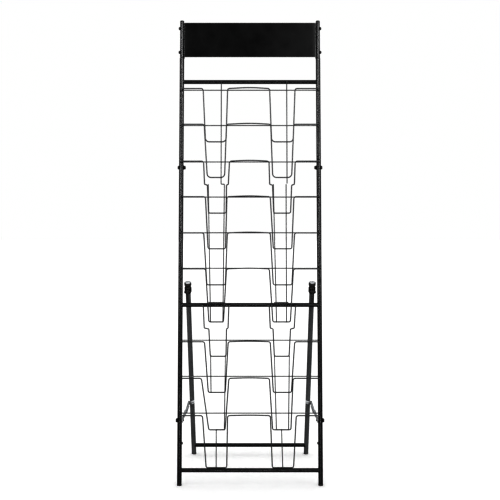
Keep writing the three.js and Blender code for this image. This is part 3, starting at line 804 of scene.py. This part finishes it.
def add_crossbar(bar, welds, post_x, post_radius, y, z, seed):
    """A bar whose ends fit round the uprights, rubbed near them, and the weld round each end."""
    sides = 36
    overlap = 0.4
    rubbed_length = 22
    ends = []
    for side in (-1, 1):
        ring = []
        for i in range(sides):
            angle = 2 * math.pi * i / sides
            depth = CROSSBAR * math.sin(angle)
            reach = coped_x(post_x, post_radius, depth + y if post_radius == POST else depth)
            ring.append(Vector((side * (reach + overlap), y + depth, z + CROSSBAR * math.cos(angle))))
        ends.append(ring)
        run = [corner + Vector((-side * 0.5, 0, 0)) for corner in ring[::2]]
        welds.bead(run + run[:2], radius=1.15, seed=seed + side)
    inner = [[Vector((side * (post_x - rubbed_length), p.y, p.z)) for p in ends[0]] for side in (-1, 1)]
    bar.rings([ends[0], inner[0], inner[1], ends[1]], [0.8, 0.12, 0.12, 0.8])


def hinge_in_front():
    """The hinge axis in the front frame's own depth and height."""
    local = FRONT.inverted() @ hinge
    return local.y, local.z


def add_hinge_lug(bar, welds, side):
    """The lug on the middle bar that carries a leg's hinge, and the weld down both its faces."""
    low = side * LEG_X - LUG_THICK / 2
    bar.plate((BAR_SETBACK, MIDDLE_BAR + CROSSBAR), hinge_in_front(), LUG_HALF, low, LUG_THICK)
    for edge in (-1, 1):
        x = side * LEG_X + edge * LUG_THICK / 2
        run = []
        for i in range(14):
            angle = math.radians(-35 + 9 * i)
            run.append(Vector((x, BAR_SETBACK + CROSSBAR * math.sin(angle),
                               MIDDLE_BAR + CROSSBAR * math.cos(angle))))
        welds.bead(run, radius=1.0, seed=side + edge)


def finish_crossbars():
    for number, (node, y, z) in enumerate((("crossbar_top", BAR_SETBACK, TOP_BAR),
                                           ("crossbar_middle", BAR_SETBACK, MIDDLE_BAR),
                                           ("crossbar_bottom", 0, BOTTOM_BAR))):
        bar = Shells()
        welds = Shells()
        add_crossbar(bar, welds, POST_X, POST, y, z, number * 3.7)
        if node == "crossbar_top":
            welds.nugget((87.6, BAR_SETBACK - 3, TOP_BAR - CROSSBAR + 0.6), WELD["top_bar_drip"], 3.3)
        if node == "crossbar_middle":
            for side in (-1, 1):
                add_hinge_lug(bar, welds, side)
        finish_node(node, bar, FRONT, "tube_paint")
        make_piece(f"{node}_welds", welds, FRONT, "front_frame", "tube_paint")

    bar = Shells()
    welds = Shells()
    add_crossbar(bar, welds, LEG_X, LEG, HINGE_OFFSET, -REAR_BAR_DOWN, 21.3)
    finish_node("rear_crossbar", bar, REAR, "tube_paint")
    make_piece("rear_crossbar_welds", welds, REAR, "leg_frame", "tube_paint")


# ------------------------ wires
def pocket_run(row, first, second):
    """A row's wire down and up one pocket, from its first leg to its second."""
    shelf_y = BOTTOM_SHELF_Y if row is ROWS[-1] else SHELF_Y
    corner = WIDE_SHELF_CORNER if row in ROWS[:2] else SHELF_CORNER
    front = row["back"] - FRONT_WIRE_FALL

    def depth_at(z):
        return POCKET_FRONT_Y + (shelf_y - POCKET_FRONT_Y) * (front - z) / (front - row["shelf"])

    def steps(leg):
        if "step_to" not in row:
            return []
        levels = ((row["step_from"], row["back"] - STEP_START), (row["step_to"], row["back"] - STEP_END))
        return [(x[leg], depth_at(z), z, STEP_CORNER) for x, z in levels]

    return [
        (row["top"][first], POCKET_FRONT_Y, front, LEG_CORNER),
        *steps(first),
        (row["foot"][first], shelf_y, row["shelf"], corner),
        (row["foot"][second], shelf_y, row["shelf"], corner),
        *reversed(steps(second)),
        (row["top"][second], POCKET_FRONT_Y, front, LEG_CORNER),
    ]


def end_height(row):
    """The height at which a row's wire meets the posts, just above its back wire."""
    return row["back"] + BACK_WIRE + POCKET_WIRE + GAP


def post_run(row, side):
    """From a post's face to the front corner of the row."""
    x = side * (POST_X - WIRE_END_INSET)
    return [(x, -POST - 0.35, end_height(row), 0),
            (x, POCKET_FRONT_Y, row["back"] - FRONT_WIRE_FALL, SHELF_CORNER)]


def upright_wires(name):
    """The upright wires of a column by piece: for each its x at a height, its top and its bottom."""
    column = SIDES[name] * COLUMN_X
    left = name == "left"

    def wire(offsets, top, bottom, end=None):
        high, low = offsets
        return (lambda z: column + low + (high - low) * (z - bottom) / (top - bottom), top,
                bottom if end is None else end)

    middle_bottom = ROWS[5]["shelf"] - POCKET_WIRE
    lower_top = ROWS[6]["shelf"] + POCKET_WIRE
    lower_bottom = ROWS[8]["shelf"] - POCKET_WIRE
    first, second = LADDERS[name]["lower"]
    first_end = ROWS[7]["shelf"] - POCKET_WIRE if left else lower_bottom
    return {
        "upper": [wire((UPPER_WIRE_OFFSET,) * 2, TOP_BAR, MIDDLE_LADDER_TOP if left else UPPER_WIRE_END)],
        "middle": [wire(offsets, MIDDLE_LADDER_TOP, middle_bottom) for offsets in LADDERS[name]["middle"]],
        "lower": [wire(first, lower_top, lower_bottom, first_end), wire(second, lower_top, lower_bottom)],
        "stem": [wire(LADDERS[name]["stem"], ROWS[8]["shelf"], BOTTOM_BAR + CROSSBAR)],
    }


def add_crossing_welds(welds, row, legs, wire, has_back, seed):
    """Welds where an upright wire crosses a row's back wire, and its shelf between two legs."""
    x_at, top, bottom = wire
    height = row["back"]
    shelf = row["shelf"]
    depth = (BACK_WIRE_Y + UPRIGHT_WIRE_Y) / 2
    if has_back and bottom <= height <= top:
        welds.nugget((x_at(height), depth, height), WELD["crossing"], seed + x_at(height))
    between_legs = legs[0] - 1 < x_at(shelf) < legs[1] + 1
    if between_legs and bottom - 4 <= shelf <= top + 4 and row is not ROWS[-1]:
        welds.nugget((x_at(shelf), depth, shelf), WELD["shelf"], seed - x_at(shelf))


def row_welds(index, row, has_back):
    """The welds of a row, on the posts and on the upright wires."""
    welds = Shells()
    for name, side in SIDES.items():
        seed = index * 5.1 + side
        end_x = side * (POST_X - WIRE_END_INSET)
        welds.nugget((end_x, -POST - 0.2, end_height(row)), WELD["wire_end"], seed)
        if has_back:
            welds.nugget((side * POST_X, -POST - 0.7, row["back"]), WELD["back_wire"], seed + 9)
        legs = row["foot"][:2] if side < 0 else row["foot"][2:]
        for wires in upright_wires(name).values():
            for wire in wires:
                add_crossing_welds(welds, row, legs, wire, has_back, seed)
    return welds


def finish_rows():
    for index, row in enumerate(ROWS):
        number = f"{index + 1:02d}"
        height = row["back"]
        bridge = (0, POCKET_FRONT_Y - BRIDGE_BULGE, height - FRONT_WIRE_FALL + BRIDGE_RISE, BRIDGE_RADIUS)
        run = [*post_run(row, -1), *pocket_run(row, 0, 1), bridge,
               *pocket_run(row, 2, 3), *reversed(post_run(row, 1))]
        pocket = Shells()
        pocket.sweep(rounded(run), POCKET_WIRE, sides=14)
        finish_node(f"pocket_wire_{number}", pocket, FRONT, "wire_paint")
        has_back = index + 1 != BAR_ROW
        if has_back:
            back = Shells()
            back.rod((-POST_X, BACK_WIRE_Y, height), (POST_X, BACK_WIRE_Y, height), BACK_WIRE)
            finish_node(f"back_wire_{number}", back, FRONT, "wire_paint")
        make_piece(f"row_{number}_welds", row_welds(index, row, has_back), FRONT, "front_frame",
                   "wire_paint")


def finish_uprights(name, side):
    wires = upright_wires(name)
    y = UPRIGHT_WIRE_Y

    def run(shells, wire):
        x_at, top, bottom = wire
        shells.rod((x_at(top), y, top), (x_at(bottom), y, bottom), BACK_WIRE)

    middle = Shells()
    upper_x = side * COLUMN_X + UPPER_WIRE_OFFSET
    top_weld = (upper_x, y + 1, TOP_BAR - 2), WELD["top_bar"], side
    if side < 0:
        x_at, top, bottom = wires["middle"][1]
        stepped = rounded([(upper_x, y, TOP_BAR, 0), (upper_x, y, top, 3), (x_at(top), y, top, 3),
                           (x_at(bottom), y, bottom, 0)])
        middle.sweep(stepped, BACK_WIRE)
        middle.nugget(*top_weld)
    else:
        upper = Shells()
        run(upper, wires["upper"][0])
        upper.nugget(*top_weld)
        finish_node(f"upright_wire_{name}", upper, FRONT, "wire_paint")
        run(middle, wires["middle"][1])
    run(middle, wires["middle"][0])
    ties = [x_at(TIE_HEIGHT) for x_at, top, bottom in wires["middle"]]
    bars = [x_at(MIDDLE_BAR) for x_at, top, bottom in wires["middle"]]
    for tie_x, bar_x in zip(ties, bars):
        middle.nugget((tie_x, y, TIE_HEIGHT), WELD["tie"], tie_x)
        middle.nugget((bar_x, y + 1.2, MIDDLE_BAR), WELD["middle_bar"], tie_x + 1)
    middle.rod((ties[0] - TIE_OVERHANG, y, TIE_HEIGHT), (ties[1] + TIE_OVERHANG, y, TIE_HEIGHT), BACK_WIRE)
    finish_node(f"middle_ladder_{name}", middle, FRONT, "wire_paint")

    first, second = wires["lower"]
    stem = wires["stem"][0]
    stem_x, _, stem_end = stem
    tie = ROWS[8]["shelf"]
    lower = Shells()
    run(lower, second)
    run(lower, stem)
    if side < 0:
        short = Shells()
        run(short, first)
        finish_node("short_rail_left", short, FRONT, "wire_paint")
        start = stem_x(tie)
    else:
        run(lower, first)
        start = first[0](tie)
    lower.rod((start, y, tie), (second[0](tie), y, tie), BACK_WIRE)
    lower.nugget((stem_x(tie), y, tie), WELD["tie"], side + 4)
    lower.nugget((stem_x(stem_end), y + 1, stem_end + 0.5), WELD["bottom_bar"], side + 6)
    finish_node(f"lower_ladder_{name}", lower, FRONT, "wire_paint")


# ------------------------ rear legs, hinges and braces
def finish_leg(name, side):
    x = side * LEG_X
    foot_end = -leg_length
    axis = at(x, HINGE_OFFSET, 0)
    tube = Shells()
    tube.turn(softened(tube_profile(LEG, foot_end + FOOT_FLANGE + GAP, LEG_ABOVE_HINGE), 0.5), axis, 44,
              rims=(foot_end + FOOT_FLANGE + GAP, LEG_ABOVE_HINGE))
    boss = at(x, HINGE_OFFSET - BRACE_LEG_FORWARD, -BRACE_LEG_DOWN) @ aimed(side, 0, 0, 0)
    tube.turn(softened([(0, 2), (6, 2), (6, LEG + 2.9), (0, LEG + 2.9)], 0.4), boss, 32)
    # The legs take the lighter copy of the tube paint; its lighter tone is painted light from the floor.
    finish_node(f"rear_leg_{name}", tube, REAR, "tube_paint", paint="leg_paint_painted_light")

    cap = Shells()
    inside = LEG + GAP
    cap.turn(softened([
        (inside, COLLAR_HALF + 1), (9.2, COLLAR_HALF + 1), (9.4, 14.2), (11.2, 15.8), (11.4, 21),
        (11.2, 24.6), (10.2, 25.8), (0, 26), (0, LEG_ABOVE_HINGE + GAP), (inside, LEG_ABOVE_HINGE + GAP),
        (inside, COLLAR_HALF + 1)], 0.5), axis, 44, rims=(25.8,))
    finish_node(f"leg_cap_{name}", cap, REAR, "rubber")

    # A pale zinc disc on the cap's top: a painted highlight, standing in for the light the top catches from
    # above.
    disc = Shells()
    disc.turn(softened([(0, 25.4), (9.3, 25.4), (9.3, 26.4), (8.4, 27.0), (0, 27.5)], 0.3), axis, 44, 0.3)
    make_piece(f"leg_cap_highlight_disc_{name}", disc, REAR, "leg_frame", "zinc")

    collar = Shells()
    bore = LEG + GAP
    collar.turn(softened([(bore, -COLLAR_HALF), (COLLAR, -COLLAR_HALF), (COLLAR, COLLAR_HALF),
                          (bore, COLLAR_HALF), (bore, -COLLAR_HALF)], 0.6), axis, 44,
                rims=(-COLLAR_HALF, COLLAR_HALF))
    for low in (EAR_FACE, -EAR_FACE - EAR_THICK):
        collar.plate((0, 0), (HINGE_OFFSET - LEG - 1, 0), COLLAR_HALF - 1, x + low, EAR_THICK)
    finish_node(f"hinge_collar_{name}", collar, REAR, "tube_paint")

    ear_outside = EAR_FACE + EAR_THICK
    bolt = Shells()
    head = aimed(-side, x - side * (ear_outside + GAP), 0, 0)
    add_washer(bolt, head, radius=6.2)
    recess = cross(arm=2.2, half_width=0.6)
    bolt.stack(button_head(radius=5.0, height=4.0, recess=recess), head @ at(0, 0, WASHER_THICK), wear=0.55)
    add_shank(bolt, head, radius=2.5, length=2 * ear_outside + 5)
    finish_node(f"hinge_bolt_{name}", bolt, REAR, "black_bolt")
    nut = Shells()
    add_nut(nut, aimed(side, x + side * ear_outside, 0, 0), half_flats=4.2, height=4.4, stub=1.0)
    make_piece(f"hinge_nut_{name}", nut, REAR, "leg_frame", "black_bolt")

    foot = Shells()
    foot.turn(foot_profile(LEG + 0.4, LEG - TUBE_WALL - 0.15, foot_end, below=6), axis, 44, 0.6)
    finish_node(f"rear_foot_{name}", foot, REAR, "rubber", on_floor=True)


def make_saddle(name, side):
    """The strap over the front of a leg that carries the brace's pivot, and its two rivets."""
    inner = LEG + 0.05
    outer = LEG + 1.5
    half_height = 6.2
    rise = 8.0
    first = math.radians(8)
    last = math.radians(150)
    steps = 26

    def strap_point(angle, radius, up):
        share = (angle - first) / (last - first)
        level = -BRACE_LEG_DOWN - rise * 0.35 + rise * share
        return Vector((side * (LEG_X + radius * math.cos(angle)),
                       HINGE_OFFSET - radius * math.sin(angle), level + up))

    strap = Shells()
    rings = []
    for i in range(steps + 1):
        angle = first + (last - first) * i / steps
        end = min(i, steps - i) == 0
        tall = half_height - (0.5 if end else 0)
        rings.append([strap_point(angle, r, up) for r, up in (
            (inner, -tall), (outer - 0.35, -tall), (outer, -tall + 0.35),
            (outer, tall - 0.35), (outer - 0.35, tall), (inner, tall))])
    strap.rings(rings, 0.55)
    make_piece(f"brace_saddle_{name}", strap, REAR, "leg_frame", "zinc")

    rivets = Shells()
    angle = math.radians(116)
    for up in (-3.6, 3.6):
        centre = strap_point(angle, outer - 0.1, up)
        outwards = Vector((side * math.cos(angle), -math.sin(angle), 0))
        place = Matrix.Translation(centre) @ outwards.to_track_quat("Z", "Y").to_matrix().to_4x4()
        rivets.turn([(0, -0.5), (2.3, -0.5), (2.3, 0.3), (1.9, 1.1), (1.1, 1.6), (0, 1.8)], place, 24, 0.1)
    make_piece(f"saddle_rivets_{name}", rivets, REAR, "leg_frame", "zinc")


def flange(shells, side, start, end, up, near):
    """The edge of a link folded inwards: a strip along the link, from a depth to FLANGE_REACH."""
    face = POST_X - POST - GAP
    half = 0.7
    rings = []
    for along, inset in ((start, 1.2), (start + 1.5, 0), (end - 1.5, 0), (end, 1.2)):
        rings.append([Vector((side * (face - depth), along, up + rise)) for depth, rise in (
            (near, -half), (FLANGE_REACH - inset, -half), (FLANGE_REACH - inset, half), (near, half))])
    shells.rings(rings, 0.7)


def finish_brace(name, side):
    post_face = side * (POST_X - POST - GAP)

    def layer(depth):
        return min(post_face - side * depth, post_face - side * (depth + BRACE_THICK))

    rear_depth = BRACE_THICK + 0.4
    head = [(0, 0), (2.5, 0), (2.5, rear_depth), (4.3, rear_depth), (4.2, rear_depth + 0.6),
            (3.2, rear_depth + 1.1), (0, rear_depth + 1.2)]
    front = Shells()
    front.plate((0, 0), (link_front, 0), BRACE_HALF, layer(0), BRACE_THICK)
    flange(front, side, 10, link_front - 6, up=BRACE_HALF - 0.6, near=0.4)
    front.turn(softened(head, 0.25), aimed(-side, post_face - side * BRACE_THICK, link_front, 0), 32, 0.4)
    finish_node(f"brace_front_{name}", front, BRACE, "zinc")

    rear = Shells()
    rear.plate((link_front, 0), (link_front + link_rear, 0), BRACE_HALF, layer(rear_depth), BRACE_THICK)
    for edge in (-1, 1):
        flange(rear, side, link_front + 9, link_front + link_rear - 16, up=edge * (BRACE_HALF - 1.4),
               near=rear_depth + 0.6)
    pin = [(0, -BRACE_THICK + 0.2), (4.3, -BRACE_THICK + 0.2), (4.3, 0.3), (3.4, 1.2), (0, 1.3)]
    rear.turn(softened(pin, 0.25),
              aimed(side, post_face - side * rear_depth, link_front + link_rear, 0), 32, 0.4)
    finish_node(f"brace_rear_{name}", rear, BRACE, "zinc")


# ------------------------ stage, light and camera
def make_floor():
    size = 30
    mesh = bpy.data.meshes.new("floor")
    mesh.from_pydata([(-size, -size, 0), (size, -size, 0), (size, size, 0), (-size, size, 0)], [],
                     [(0, 1, 2, 3)])
    floor = bpy.data.objects.new("floor", mesh)
    bpy.context.scene.collection.objects.link(floor)
    pale = bpy.data.materials.new("pale_floor")
    pale.use_nodes = True
    shader = pale.node_tree.nodes["Principled BSDF"]
    shader.inputs["Base Color"].default_value = (0.93, 0.93, 0.93, 1)
    shader.inputs["Roughness"].default_value = 0.9
    shader.inputs["Specular IOR Level"].default_value = 0.0
    shader.inputs["Emission Color"].default_value = (1, 1, 1, 1)
    shader.inputs["Emission Strength"].default_value = 0.18
    floor.visible_glossy = False
    mesh.materials.append(pale)


def set_room():
    """Plain white all round, and a view that lifts the dark tones of the paint."""
    world = bpy.data.worlds.new("studio")
    bpy.context.scene.world = world
    world.use_nodes = True
    world.node_tree.nodes["Background"].inputs["Color"].default_value = (1, 1, 1, 1)
    world.node_tree.nodes["Background"].inputs["Strength"].default_value = 1.0
    world.cycles_visibility.glossy = False
    bpy.context.scene.view_settings.view_transform = "Standard"
    bpy.context.scene.view_settings.gamma = 0.5


def add_softbox(name, place, aim, size, power, lit):
    data = bpy.data.lights.new(name, "AREA")
    data.shape = "RECTANGLE"
    data.size, data.size_y = size
    data.energy = power
    lamp = bpy.data.objects.new(name, data)
    bpy.context.scene.collection.objects.link(lamp)
    lamp.location = place
    lamp.light_linking.receiver_collection = lit
    lamp.rotation_euler = (Vector(aim) - Vector(place)).to_track_quat("-Z", "Y").to_euler()


def light():
    """Softboxes for the rack alone, so the floor keeps the even white of the room."""
    lit = bpy.data.collections.new("lit_by_softboxes")
    for thing in bpy.context.scene.objects:
        if thing.type == "MESH" and thing.name != "floor":
            lit.objects.link(thing)
    for name, place, aim, size, power in (
            ("left_softbox", (-1.9, -2.3, 2.1), (0, 0, 1.1), (0.6, 2.4), 125),
            ("right_softbox", (1.9, -2.3, 2.1), (0, 0, 1.1), (0.6, 2.4), 135),
            ("front_right_softbox", (1.3, -2.6, 2.9), (0, 0, 1.2), (1.0, 1.0), 26),
            ("low_softbox", (0, -2.3, 0.15), (0, 0, 0.58), (0.5, 0.1), 9),
            ("top_softbox", (0, 0.2, 3.4), (0, 0, 0), (2.4, 2.4), 10)):
        add_softbox(name, place, aim, size, power, lit)


def set_camera():
    data = bpy.data.cameras.new("camera")
    data.lens = CAMERA_LENS
    data.sensor_width = 36
    camera = bpy.data.objects.new("camera", data)
    bpy.context.scene.collection.objects.link(camera)
    camera.location = (0, front_foot.y - CAMERA_BACK * MM, CAMERA_HEIGHT * MM)
    camera.rotation_euler = (math.pi / 2 - CAMERA_DOWN, 0, 0)
    bpy.context.scene.camera = camera


# ------------------------ the rack
finish_panel()
finish_crossbars()
finish_rows()
for side_name, side_sign in SIDES.items():
    finish_posts(side_name, side_sign)
    finish_post_bolts(side_name, side_sign)
    finish_uprights(side_name, side_sign)
    finish_leg(side_name, side_sign)
    make_saddle(side_name, side_sign)
    finish_brace(side_name, side_sign)
make_floor()
set_room()
light()
set_camera()
